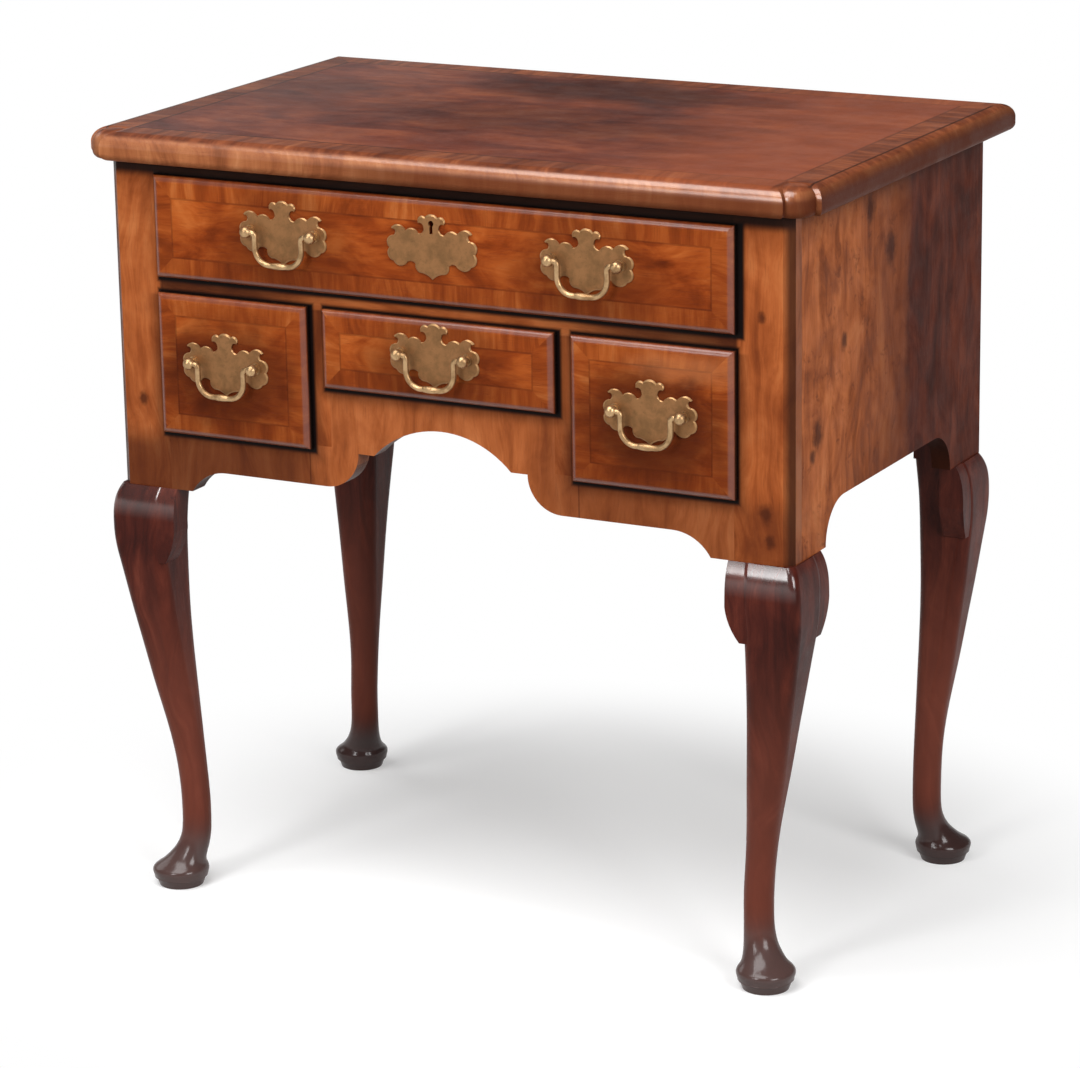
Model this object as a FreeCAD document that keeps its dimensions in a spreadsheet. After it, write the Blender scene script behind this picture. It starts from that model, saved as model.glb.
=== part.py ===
import FreeCAD, Part
import math
import os
import re
from types import SimpleNamespace

from FreeCAD import Vector

# A walnut lowboy: a small dressing table on four cabriole legs, with one long drawer over a shallow
# centre drawer and two deep side drawers. X runs across the front, -Y is the front, Z is up.
# The origin is on the floor, under the middle of the whole object.

SIZES = (
    ("case_depth", 417.5, "outside depth of the case"),
    ("leg_height", 388.0, "floor to the case's lower edge"),
    ("apron_height", 57.0, "case's lower edge to the openings of the side drawers"),
    ("top_thickness", 25.5, "thickness of the top"),
    ("overhang_front", 16.0, "top past the case front"),
    ("overhang_side", 23.0, "top past each case side"),
    ("overhang_back", 20.0, "top past the case back"),
    ("edge_round", 13.0, "rounding of the top's upper edge"),
    ("under_round", 7.0, "rounding of the top's lower edge"),
    ("corner_lobe", 24.0, "reach of the rounded front corners of the top"),
    ("corner_step", 5.0, "step at each end of a rounded corner"),
    ("frame_thickness", 20.0, "stiles, rails, dividers and apron"),
    ("side_thickness", 18.0, "side boards"),
    ("back_thickness", 14.0, "back board"),
    ("back_rebate", 9.0, "back board let into each side"),
    ("cant", 8.0, "flat cut along the front corners of the case"),
    ("stile_width", 53.0, "front stiles"),
    ("top_rail_height", 13.0, "rail over the long drawer"),
    ("middle_rail_height", 20.0, "rail under the long drawer"),
    ("divider_width", 22.0, "uprights beside the centre drawer"),
    ("tenon_length", 14.0, "tenons of the rails and the apron"),
    ("tenon_thickness", 8.0, "thickness of every tenon"),
    ("tenon_shoulder", 4.0, "shoulder above and below a tenon"),
    ("stub_tenon", 8.0, "tenons of the dividers"),
    ("top_drawer_height", 86.0, "opening of the long drawer"),
    ("side_drawer_height", 122.5, "openings of the side drawers"),
    ("centre_drawer_height", 65.0, "opening of the centre drawer"),
    ("centre_opening", 222.0, "width of the centre drawer's opening"),
    ("side_opening", 147.0, "width of each side drawer's opening"),
    ("arch_half_width", 68.0, "half of the apron's middle arch"),
    ("arch_apex_lift", 82.5, "arch top over the case's lower edge"),
    ("arch_shoulder_lift", 53.5, "arch foot over the case's lower edge"),
    ("arch_ledge", 16.0, "flat beside the arch"),
    ("apron_lift", 20.5, "straight part of the apron over the case's lower edge"),
    ("apron_end_run", 36.0, "curve at each end of the apron"),
    ("apron_end_ledge", 22.0, "flat between that curve and the stile"),
    ("side_arch_lift", 38.0, "side's straight lower edge over the case's lower edge"),
    ("side_arch_margin", 70.0, "case corner to the side's cut-out"),
    ("knee_bulge", 9.3, "knee past the case faces"),
    ("ankle_inset", 38.0, "case face to the middle of the ankle"),
    ("ankle_width", 26.3, "width of the ankle"),
    ("foot_inset", 26.0, "case face to the middle of the foot"),
    ("foot_radius", 25.8, "widest radius of the pad foot"),
    ("foot_height", 45.0, "floor to where the ankle begins"),
    ("pad_step", 2.3, "disc under the foot, inside the widest radius"),
    ("pad_taper", 3.0, "that disc narrower at the floor"),
    ("pad_height", 8.5, "thickness of that disc"),
    ("front_leg_turn", 7.0, "front feet turned forwards"),
    ("back_leg_turn", 9.0, "back feet turned sideways"),
    ("ear_width", 12.5, "shaped blocks beside the knees"),
    ("ear_height", 70.0, "height of those blocks"),
    ("ear_depth", 15.0, "case face to the back of a block"),
    ("ear_setback", 0.8, "block behind the face of the knee"),
    ("lip_proud", 8.0, "drawer front past the case front"),
    ("lip_overlap", 3.5, "drawer lip over the edge of its opening"),
    ("lip_round", 6.2, "rounding of the drawer lip"),
    ("lip_gap", 0.3, "closed drawer lip to the case front"),
    ("drawer_fit", 1.0, "drawer to the sides of its opening"),
    ("runner_gap", 0.3, "drawer side to its runner"),
    ("front_core", 14.0, "drawer front behind the lip"),
    ("drawer_side_thickness", 10.0, "drawer sides"),
    ("drawer_back_thickness", 9.0, "drawer backs"),
    ("drawer_bottom_thickness", 7.0, "drawer bottoms"),
    ("drawer_bottom_lift", 6.0, "drawer bottom over the lower edge of the sides"),
    ("groove_depth", 5.0, "groove for the drawer bottom"),
    ("side_drop", 4.0, "drawer sides under the top of the opening"),
    ("back_drop", 6.0, "drawer back under the drawer sides"),
    ("drawer_back_gap", 10.0, "drawer sides to the back board"),
    ("tail_length", 9.0, "dovetails in the drawer front"),
    ("tail_pitch", 40.0, "about one dovetail for each such height"),
    ("tail_flare", 1.5, "dovetail wider at its end, each way"),
    ("runner_width", 25.0, "drawer runners"),
    ("runner_thickness", 16.0, "thickness of the runners"),
    ("guide_width", 7.0, "strips that keep the drawers straight"),
    ("guide_height", 20.0, "height of those strips"),
    ("partition_thickness", 10.0, "boards between the lower drawers"),
    ("inner_runner_width", 22.0, "runners on those boards"),
    ("block_side", 18.0, "glue blocks under the top"),
    ("block_length", 60.0, "length of a glue block"),
    ("nail_radius", 1.3, "nails of the back board"),
    ("nail_length", 24.0, "length of a nail"),
    ("nail_head_radius", 3.2, "radius of a nail's head"),
    ("nail_head_height", 1.2, "height of a nail's head"),
    ("plate_width", 88.0, "brass plates"),
    ("plate_height", 57.0, "height of the brass plates"),
    ("plate_thickness", 1.6, "thickness of the brass plates"),
    ("bevel_depth", 0.8, "depth of the bevel round a plate"),
    ("bevel_width", 1.5, "width of that bevel"),
    ("top_handle_offset", 148.5, "long drawer's handles from the middle"),
    ("left_handle_shift", 6.0, "left drawer's handle off its middle, outwards"),
    ("handle_rise", 5.0, "brasses above the middles of their drawers"),
    ("post_projection", 8.0, "plate to the bail's pivot"),
    ("post_head_radius", 5.5, "round head of a post"),
    ("post_neck_radius", 3.2, "neck of a post"),
    ("post_flange_radius", 5.0, "foot of a post on the plate"),
    ("post_flange_height", 1.6, "height of that foot"),
    ("shank_radius", 2.4, "post through the drawer front"),
    ("shank_clearance", 0.1, "hole around the shank"),
    ("nut_side", 9.0, "square nut inside the drawer"),
    ("nut_thickness", 3.0, "thickness of the nut"),
    ("bail_radius", 2.5, "rod of the bail"),
    ("bail_swell", 0.6, "bail thicker in its middle, each way"),
    ("pin_clearance", 0.05, "hole around the bail's end"),
    ("bail_end_bend", 3.5, "bend at the end of the bail"),
    ("bail_end_reach", 4.0, "bail's end past the middle of the post"),
    ("bail_corner", 15.0, "lower bends of the bail"),
    ("bail_upright", 9.5, "straight part of the bail under each end"),
    ("bail_straight", 17.0, "straight part along the bottom of the bail"),
    ("lock_width", 62.0, "lock of the long drawer"),
    ("lock_height", 44.0, "height of the lock"),
    ("lock_depth", 9.0, "depth of the lock"),
    ("bolt_width", 18.0, "lock bolt"),
    ("bolt_height", 24.0, "height of the bolt"),
    ("bolt_thickness", 4.0, "thickness of the bolt"),
    ("bolt_clearance", 0.3, "lock around the bolt"),
    ("bolt_throw", 9.0, "travel of the bolt"),
    ("mortise_room", 1.0, "rail's mortise around the bolt"),
    ("keyhole_radius", 2.6, "round part of the keyhole"),
    ("keyhole_slot", 3.0, "width of the keyhole's slot"),
    ("keyhole_length", 9.0, "length of that slot"),
)

LEVELS = (
    ("centre_half", "centre_opening / 2"),
    ("divider_half", "centre_half + divider_width"),
    ("open_half", "divider_half + side_opening"),
    ("half_width", "open_half + stile_width"),
    ("post_width", "stile_width - guide_width"),
    ("front_reach", "lip_gap + lip_proud + plate_thickness + post_projection + post_head_radius"),
    ("front_y", "(front_reach - case_depth - overhang_back) / 2"),
    ("back_y", "front_y + case_depth"),
    ("frame_back", "front_y + frame_thickness"),
    ("inside_back", "back_y - back_thickness"),
    ("inside_half", "half_width - side_thickness"),
    ("side_open_low", "leg_height + apron_height"),
    ("low_open_high", "side_open_low + side_drawer_height"),
    ("centre_open_low", "low_open_high - centre_drawer_height"),
    ("top_open_low", "low_open_high + middle_rail_height"),
    ("top_open_high", "top_open_low + top_drawer_height"),
    ("top_under", "top_open_high + top_rail_height"),
    ("total_height", "top_under + top_thickness"),
    ("post_inner", "half_width - post_width"),
    ("tenon_front", "front_y + (frame_thickness - tenon_thickness) / 2"),
    ("tenon_back", "tenon_front + tenon_thickness"),
    ("partition_inner", "centre_half + (divider_width - partition_thickness) / 2"),
    ("partition_outer", "partition_inner + partition_thickness"),
    ("face_y", "front_y - lip_gap - lip_proud"),
    ("plate_y", "face_y - plate_thickness"),
    ("pivot_y", "plate_y - post_projection"),
    ("bail_end_inset", "post_head_radius + bail_end_bend"),
    ("bail_drop", "bail_end_bend + bail_upright + bail_corner"),
    ("post_spacing", "bail_straight + 2 * (bail_corner + bail_end_inset)"),
    ("pad_radius", "foot_radius - pad_step"),
    ("pad_base_radius", "pad_radius - pad_taper"),
    ("core_back", "front_y + front_core"),
    ("drawer_end", "inside_back - drawer_back_gap"),
    ("bolt_front", "core_back - (lock_depth + bolt_thickness) / 2"),
)

doc = FreeCAD.newDocument("lowboy")
sheet = doc.addObject("Spreadsheet::Sheet", "sizes")
for row, (alias, number, note) in enumerate(SIZES, start=1):
    sheet.set(f"A{row}", note)
    sheet.set(f"B{row}", str(number))
    sheet.setAlias(f"B{row}", alias)
levels = doc.addObject("Spreadsheet::Sheet", "levels")
OWNER = {alias: "sizes" for alias, _, _ in SIZES}
OWNER.update({alias: "levels" for alias, _ in LEVELS})


def bound(formula):
    """The formula with each name pointed at its sheet."""
    return re.sub(r"[a-z_]+", lambda word: f"{OWNER[word.group()]}.{word.group()}", formula)


for row, (alias, formula) in enumerate(LEVELS, start=1):
    own = re.sub(r"\blevels\.", "", bound(formula))
    levels.set(f"B{row}", f"={own}")
    levels.setAlias(f"B{row}", alias)
doc.recompute()

d = SimpleNamespace(**{alias: float(sheet.get(alias)) for alias, _, _ in SIZES},
                    **{alias: float(levels.get(alias)) for alias, _ in LEVELS})

nodes = []


def board(label, x, y, z):
    """A rectangular board between two formulas on each axis."""
    box = doc.addObject("Part::Box", label)
    for length, axis, (low, high) in (("Length", "x", x), ("Width", "y", y), ("Height", "z", z)):
        box.setExpression(length, bound(f"({high}) - ({low})"))
        box.setExpression(f".Placement.Base.{axis}", bound(low))
    return box


def opposite(span):
    """The mirror image of a span across the middle of the object."""
    low, high = span
    return f"-({high})", f"-({low})"


def pair(label, x, y, z):
    """A board on the right and its mirror image on the left."""
    return [board(f"{label}_right", x, y, z), board(f"{label}_left", opposite(x), y, z)]


def keep(label, item):
    """Make a document object one of the handed-in pieces."""
    item.Label = label
    nodes.append(item)
    return item


def joined(label, kind, items):
    """Several document objects as one: a Part::Compound of pieces or a Part::MultiFuse of one piece."""
    whole = doc.addObject(kind, label)
    setattr(whole, "Links" if kind == "Part::Compound" else "Shapes", items)
    return whole


def without(label, base, tool):
    """A Part::Cut of two document objects."""
    cut = doc.addObject("Part::Cut", label)
    cut.Base = base
    cut.Tool = tool
    return cut


def feature(label, shape, spot=Vector()):
    """A document object with a shape that is made here from the sheet's numbers, set down at a spot."""
    item = doc.addObject("Part::Feature", label)
    item.Shape = shape
    item.Placement = FreeCAD.Placement(spot, FreeCAD.Rotation())
    return item


def block(x, y, z):
    """A rectangular solid between two numbers on each axis."""
    return Part.makeBox(x[1] - x[0], y[1] - y[0], z[1] - z[0], Vector(x[0], y[0], z[0]))


def rod(radius, start, end):
    """A round solid from one point to another."""
    return Part.makeCylinder(radius, (end - start).Length, start, end - start)


def on_front(y):
    return lambda u, v: Vector(u, y, v)


def on_side(x):
    return lambda u, v: Vector(x, u, v)


def on_floor(z):
    return lambda u, v: Vector(u, v, z)


def outline(place, start, steps):
    """A face bounded by lines to points and by arcs to (middle, end) pairs."""
    edges = []
    here = start
    for step in steps:
        if isinstance(step[0], tuple):
            middle, end = step
            edges.append(Part.Arc(place(*here), place(*middle), place(*end)).toShape())
        else:
            end = step
            edges.append(Part.makeLine(place(*here), place(*end)))
        here = end
    if here != start:
        edges.append(Part.makeLine(place(*here), place(*start)))
    return Part.Face(Part.Wire(edges))


def both_halves(half):
    """A right half and its mirror image as one solid."""
    return half.fuse(half.mirror(Vector(), Vector(1, 0, 0))).removeSplitter()


def arc_step(start, run, drop):
    """An arc that leaves start level and ends run further along and drop lower."""
    radius = (run * run + drop * drop) / (2 * drop)
    half_turn = math.atan2(run, radius - drop) / 2
    middle = (start[0] + radius * math.sin(half_turn), start[1] - radius * (1 - math.cos(half_turn)))
    return middle, (start[0] + run, start[1] - drop)


def quarter(centre, radius, away):
    """The middle of a quarter circle, on the side of its centre that away points to."""
    return tuple(c + math.copysign(radius * math.sqrt(0.5), a) for c, a in zip(centre, away))


# The top: a board with stepped, rounded front corners and a rounded upper edge.

top_half = d.half_width + d.overhang_side
top_front = d.front_y - d.overhang_front
top_back = d.back_y + d.overhang_back
lobe_x = top_half - d.corner_lobe
lobe_y = top_front + d.corner_lobe
lobe_radius = d.corner_lobe - d.corner_step


def rounded_edges(solid):
    """A board of the top's thickness with its upper and lower edges rounded."""
    upper = [e for e in solid.Edges if e.BoundBox.ZMin > d.total_height - d.top_thickness / 2]
    solid = solid.makeFillet(d.edge_round, upper)
    lower = [e for e in solid.Edges if e.BoundBox.ZMax < d.top_under + d.under_round / 2]
    return solid.makeFillet(d.under_round, lower)


slab = block((-top_half, top_half), (top_front, top_back), (d.top_under, d.total_height))
lobes = []
for side in (-1, 1):
    corner = sorted((side * lobe_x, side * (top_half + d.corner_lobe)))
    slab = slab.cut(block(corner, (top_front - d.corner_lobe, lobe_y), (d.top_under, d.total_height)))
    lobe = Part.makeCylinder(lobe_radius, d.top_thickness, Vector(side * lobe_x, lobe_y, d.top_under))
    lobes.append(rounded_edges(lobe))
top_shape = rounded_edges(slab).multiFuse(lobes).removeSplitter()
keep("top_board", feature("top_board", top_shape))

# The case: side boards, back board and nails.

side_arch = d.side_arch_lift
nails = []
nail_rows = 5
for side in (-1, 1):
    nail_x = side * (d.inside_half + d.back_rebate / 2)
    for row in range(nail_rows):
        reach = (row + 0.5) / nail_rows
        nail_z = d.leg_height + reach * (d.top_under - d.leg_height)
        head = Vector(nail_x, d.back_y, nail_z)
        shank = rod(d.nail_radius, head, head - Vector(0, d.nail_length, 0))
        cap = rod(d.nail_head_radius, head, head + Vector(0, d.nail_head_height, 0))
        nails.append(shank.fuse(cap))
nail_group = Part.makeCompound(nails)

rebate_half = d.inside_half + d.back_rebate
back_shape = block((-rebate_half, rebate_half), (d.inside_back, d.back_y), (d.leg_height, d.top_under))
keep("back_board", feature("back_board", back_shape.cut(nail_group)))
keep("back_nails", feature("back_nails", nail_group))

front_foot = d.front_y + d.side_arch_margin
back_foot = d.back_y - d.side_arch_margin
side_face = outline(on_side(0), (d.frame_back, d.top_under), [
    (d.back_y, d.top_under),
    (d.back_y, d.leg_height),
    (back_foot, d.leg_height),
    (quarter((back_foot - side_arch, d.leg_height), side_arch, (1, 1)),
     (back_foot - side_arch, d.leg_height + side_arch)),
    (front_foot + side_arch, d.leg_height + side_arch),
    (quarter((front_foot + side_arch, d.leg_height), side_arch, (-1, 1)),
     (front_foot, d.leg_height)),
    (d.frame_back, d.leg_height)])
for label, start in (("left_side", -d.half_width), ("right_side", d.inside_half)):
    panel = side_face.translated(Vector(start, 0, 0)).extrude(Vector(d.side_thickness, 0, 0))
    keep(label, feature(label, panel.cut(back_shape).cut(nail_group)))

# The front frame: stiles, rails, dividers and the shaped apron, joined with tenons.

frame = ("front_y", "frame_back")
tenon = ("tenon_front", "tenon_back")
tenon_x = ("open_half", "open_half + tenon_length")
tenon_tools = []


def tenoned(label, z, base):
    """A crosspiece with a tenon at each end; the tenons also cut the stiles."""
    low, high = z
    ends = pair(f"{label}_tenon", tenon_x, tenon, (f"{low} + tenon_shoulder", f"{high} - tenon_shoulder"))
    tenon_tools.extend(ends)
    return joined(f"{label}_whole", "Part::MultiFuse", [base] + ends)


across = ("-open_half", "open_half")
top_rail = tenoned("top_rail", ("top_open_high", "top_under"),
                   board("top_rail_bar", across, frame, ("top_open_high", "top_under")))
bolt_mortise = board("bolt_mortise",
                     ("-bolt_width / 2 - mortise_room", "bolt_width / 2 + mortise_room"),
                     ("bolt_front - mortise_room", "bolt_front + bolt_thickness + mortise_room"),
                     ("top_open_high", "top_open_high + bolt_throw + mortise_room"))
keep("top_rail", without("top_rail", top_rail, bolt_mortise))

divider_x = ("centre_half", "divider_half")
stub_x = ("centre_half + tenon_shoulder", "divider_half - tenon_shoulder")
upper_stubs = pair("upper_stub", stub_x, tenon, ("low_open_high", "low_open_high + stub_tenon"))
lower_stubs = pair("lower_stub", stub_x, tenon, ("side_open_low - stub_tenon", "side_open_low"))
middle_rail = tenoned("middle_rail", ("low_open_high", "top_open_low"),
                      board("middle_rail_bar", across, frame, ("low_open_high", "top_open_low")))
keep("middle_rail", without("middle_rail", middle_rail,
                            joined("upper_stubs", "Part::Compound", upper_stubs)))
uprights = pair("divider_bar", divider_x, frame, ("side_open_low", "low_open_high"))
for label, upright, upper_stub, lower_stub in zip(("right_divider", "left_divider"), uprights,
                                                  upper_stubs, lower_stubs):
    keep(label, joined(label, "Part::MultiFuse", [upright, upper_stub, lower_stub]))

arch_apex = d.leg_height + d.arch_apex_lift
arch_foot = d.leg_height + d.arch_shoulder_lift
apron_edge = d.leg_height + d.apron_lift
apron_lobe = arch_foot - apron_edge
ledge_end = d.arch_half_width + d.arch_ledge
end_start = d.open_half - d.apron_end_ledge - d.apron_end_run
apron_half = outline(on_front(d.front_y), (0, arch_apex), [
    arc_step((0, arch_apex), d.arch_half_width, arch_apex - arch_foot),
    (ledge_end, arch_foot),
    (quarter((ledge_end + apron_lobe, arch_foot), apron_lobe, (-1, -1)),
     (ledge_end + apron_lobe, apron_edge)),
    (end_start, apron_edge),
    arc_step((end_start, apron_edge), d.apron_end_run, d.apron_lift),
    (d.open_half, d.leg_height),
    (d.open_half, d.side_open_low),
    (d.centre_half, d.side_open_low),
    (d.centre_half, d.centre_open_low),
    (0, d.centre_open_low)]).extrude(Vector(0, d.frame_thickness, 0))
apron_bar = feature("apron_bar", both_halves(apron_half))
apron = tenoned("apron", ("leg_height + tenon_shoulder", "side_open_low - tenon_shoulder"), apron_bar)
keep("apron", without("apron", apron, joined("lower_stubs", "Part::Compound", lower_stubs)))

stile_face = outline(on_floor(d.leg_height), (d.open_half, d.front_y), [
    (d.half_width - d.cant, d.front_y),
    (d.half_width, d.front_y + d.cant),
    (d.half_width, d.frame_back),
    (d.open_half, d.frame_back)])
stile = stile_face.extrude(Vector(0, 0, d.top_under - d.leg_height))
mortises = joined("mortises", "Part::Compound", tenon_tools)
keep("right_stile", without("right_stile", feature("right_stile_bar", stile), mortises))
mirrored_stile = stile.mirror(Vector(), Vector(1, 0, 0))
keep("left_stile", without("left_stile", feature("left_stile_bar", mirrored_stile), mortises))

# Inside the case: partitions, runners, guides, kickers and glue blocks.

inside = ("frame_back", "inside_back")
keep("drawer_partitions", joined("drawer_partitions", "Part::Compound", pair(
    "partition", ("partition_inner", "partition_outer"), inside,
    ("side_open_low - runner_thickness", "low_open_high"))))

outer_x = ("post_inner - runner_width", "post_inner")
guide_x = ("open_half", "post_inner")


def runner_z(level):
    return f"{level} - runner_thickness", level


def guide_z(level):
    return level, f"{level} + guide_height"


keep("top_drawer_runners", joined("top_drawer_runners", "Part::Compound", (
    pair("top_runner", outer_x, inside, runner_z("top_open_low"))
    + pair("top_guide", guide_x, inside, guide_z("top_open_low")))))
keep("side_drawer_runners", joined("side_drawer_runners", "Part::Compound", (
    pair("side_runner", outer_x, inside, runner_z("side_open_low"))
    + pair("side_guide", guide_x, inside, guide_z("side_open_low"))
    + pair("side_inner_runner", ("partition_outer", "partition_outer + inner_runner_width"), inside,
           runner_z("side_open_low")))))
keep("centre_drawer_runners", joined("centre_drawer_runners", "Part::Compound", pair(
    "centre_runner", ("partition_inner - inner_runner_width", "partition_inner"), inside,
    runner_z("centre_open_low"))))
keep("drawer_kickers", joined("drawer_kickers", "Part::Compound", pair(
    "kicker", outer_x, inside, ("top_under - top_rail_height", "top_under"))))

block_spots = ("front_y + case_depth / 3", "front_y + case_depth * 2 / 3")
blocks = []
for spot_number, spot in enumerate(block_spots):
    blocks += pair(f"glue_block_{spot_number}", ("inside_half - block_side", "inside_half"),
                   (f"{spot} - block_length / 2", f"{spot} + block_length / 2"),
                   ("top_under - block_side", "top_under"))
keep("glue_blocks", joined("glue_blocks", "Part::Compound", blocks))

# The legs: cabriole legs with a knee, an ankle and a pad foot, and a post that stands inside the case.
# Each station gives a share of the leg's height, shares of the knee's bulge and of the ankle on the outer
# and inner faces, and how round the section is.

KNEE_STATIONS = (
    (1.000, 0.15, 0.00, 0.00, 0.28),
    (0.978, 0.62, 0.00, -0.10, 0.28),
    (0.950, 0.90, 0.00, -0.25, 0.28),
    (0.915, 1.00, 0.00, -0.40, 0.30),
    (0.866, 1.00, 0.01, -0.50, 0.33),
    (0.799, 1.00, 0.10, -0.50, 0.40),
    (0.709, 1.00, 0.24, -0.45, 0.50),
    (0.606, 1.00, 0.42, -0.25, 0.60),
    (0.503, 1.00, 0.60, 0.10, 0.72),
    (0.400, 1.00, 0.80, 0.45, 0.86),
    (0.296, 1.00, 0.95, 0.78, 0.96),
    (0.205, 1.00, 1.00, 1.00, 0.96),
)
# Each foot station gives a share of the foot's height and shares of the way from ankle to foot for the
# middle of the section and for its radius.
FOOT_STATIONS = (
    (1.35, 0.00, 0.00),
    (1.00, 0.10, 0.05),
    (0.78, 0.32, 0.17),
    (0.60, 0.62, 0.38),
    (0.47, 0.86, 0.66),
    (0.38, 0.98, 0.95),
    (0.33, 1.00, 1.00),
    (0.18, 1.00, 0.90),
)
TURN_START = 0.85
TURN_END = 0.20
FOOT_ROUND = 0.96
EAR_UPRIGHT = 1 / 3
EAR_BOW = 1 / 4
EAR_STATIONS = 6

ankle_out = d.ankle_inset - d.ankle_width / 2
ankle_in = d.ankle_inset + d.ankle_width / 2


def knee_face(bulge_share, ankle_share):
    """How far the outer face of the leg lies inside the case face."""
    return ankle_out * ankle_share - d.knee_bulge * bulge_share * (1 - ankle_share)


def corner_place(side, front):
    """Maps insets from a case corner, across and in depth, to a point."""
    face = d.front_y if front else d.back_y
    inward = 1 if front else -1
    return lambda across_inset, depth_inset, z: Vector(side * (d.half_width - across_inset),
                                                       face + inward * depth_inset, z)


def section(place, middle, half, radius, z):
    """A square with rounded corners, as one closed wire."""
    mid_x, mid_y = middle
    flat = half - radius
    swing = radius * math.sqrt(0.5)
    edges = []
    for turn in range(4):
        cos, sin = ((1, 0), (0, 1), (-1, 0), (0, -1))[turn]

        def spot(u, v):
            return place(mid_x + u * cos - v * sin, mid_y + u * sin + v * cos, z)

        bow = Part.Arc(spot(half, flat), spot(flat + swing, flat + swing), spot(flat, half))
        edges += [Part.makeLine(spot(half, -flat), spot(half, flat)), bow.toShape()]
    return Part.Wire(edges)


def leg_solid(side, front):
    """One leg with its foot and the post inside the case."""
    place = corner_place(side, front)
    turn_x, turn_y = (d.front_leg_turn, -d.front_leg_turn) if front else (-d.back_leg_turn, d.back_leg_turn)
    wires = []
    for share, way, growth in reversed(FOOT_STATIONS):
        middle = d.ankle_inset + (d.foot_inset - d.ankle_inset) * way
        half = d.ankle_width / 2 + (d.foot_radius - d.ankle_width / 2) * growth
        wires.append(section(place, (middle + turn_x, middle + turn_y), half, half * FOOT_ROUND,
                             share * d.foot_height))
    for share, bulge, outer, inner, roundness in reversed(KNEE_STATIONS):
        near = knee_face(bulge, outer)
        far = d.post_width + (ankle_in - d.post_width) * inner
        middle, half = (near + far) / 2, (far - near) / 2
        turned = min(1, max(0, (TURN_START - share) / (TURN_START - TURN_END)))
        wires.append(section(place, (middle + turn_x * turned, middle + turn_y * turned), half,
                             half * roundness, share * d.leg_height))
    shaped = Part.makeLoft(wires, True)
    foot = place(d.foot_inset + turn_x, d.foot_inset + turn_y, 0)
    pad = Part.makeCone(d.pad_base_radius, d.pad_radius, d.pad_height, foot)
    facing = d.frame_thickness if front else d.back_thickness
    corners = [place(d.side_thickness, facing, 0), place(d.post_width, d.post_width, 0)]
    post = block(sorted(c.x for c in corners), sorted(c.y for c in corners), (d.leg_height, d.top_under))
    return shaped.fuse(pad).fuse(post)


def ear_solid(side, front, sideways, leg):
    """The shaped block beside a knee, along the front or back, or along the side of the case."""
    corner = corner_place(side, front)

    def place(along, depth, z):
        return corner(depth, along, z) if sideways else corner(along, depth, z)

    top, low = d.leg_height, d.leg_height - d.ear_height
    inner = d.post_width + d.ear_width
    rooted = d.post_width / 2
    front_edge = -d.knee_bulge
    face = outline(lambda u, v: place(u, front_edge, v), (rooted, top), [
        (inner, top),
        (inner, top - d.ear_height * EAR_UPRIGHT),
        ((inner - d.ear_width * EAR_BOW, low + d.ear_height * EAR_BOW), (d.post_width, low)),
        (rooted, low)])
    body = face.extrude(place(rooted, d.ear_depth, top) - place(rooted, front_edge, top))
    points = [place(rooted, knee_face(bulge, outer) + d.ear_setback, share * d.leg_height)
              for share, bulge, outer, _, _ in KNEE_STATIONS[:EAR_STATIONS]]
    curve = Part.BSplineCurve()
    curve.interpolate(points)
    back_top = place(rooted, d.ear_depth, top)
    back_low = place(rooted, d.ear_depth, points[-1].z)
    profile = Part.Face(Part.Wire([curve.toShape(), Part.makeLine(points[-1], back_low),
                                   Part.makeLine(back_low, back_top), Part.makeLine(back_top, points[0])]))
    bulged = profile.extrude(place(inner, d.ear_depth, top) - back_top)
    return body.common(bulged).cut(leg).Solids[0]


front_ears, back_ears = [], []
for front in (True, False):
    for side in (-1, 1):
        label = f"{'front' if front else 'back'}_{'left' if side < 0 else 'right'}_leg"
        leg = leg_solid(side, front)
        keep(label, feature(label, leg))
        if front:
            front_ears += [ear_solid(side, front, sideways, leg) for sideways in (False, True)]
        else:
            back_ears.append(ear_solid(side, front, True, leg))
keep("front_knee_ears", feature("front_knee_ears", Part.makeCompound(front_ears)))
keep("back_knee_ears", feature("back_knee_ears", Part.makeCompound(back_ears)))

# The brasses: shaped plates, posts with nuts, and swinging bails.
# The plate's right half, in shares of its half width and half height, as arcs of (middle, end),
# and the keyhole's level in its plate as such a share.

KEYHOLE_LEVEL = 0.72
PLATE_START = (0.0, 1.0)
PLATE_ARCS = (
    ((0.08, 0.975), (0.14, 0.90)),
    ((0.27, 0.90), (0.30, 0.75)),
    ((0.21, 0.74), (0.175, 0.64)),
    ((0.18, 0.48), (0.29, 0.39)),
    ((0.42, 0.53), (0.58, 0.45)),
    ((0.76, 0.61), (0.90, 0.50)),
    ((0.81, 0.40), (0.86, 0.27)),
    ((1.00, 0.09), (0.95, -0.12)),
    ((0.99, -0.34), (0.86, -0.52)),
    ((0.70, -0.66), (0.56, -0.53)),
    ((0.45, -0.49), (0.37, -0.55)),
    ((0.35, -0.73), (0.22, -0.82)),
    ((0.10, -0.885), (0.0, -1.0)),
)


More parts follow.
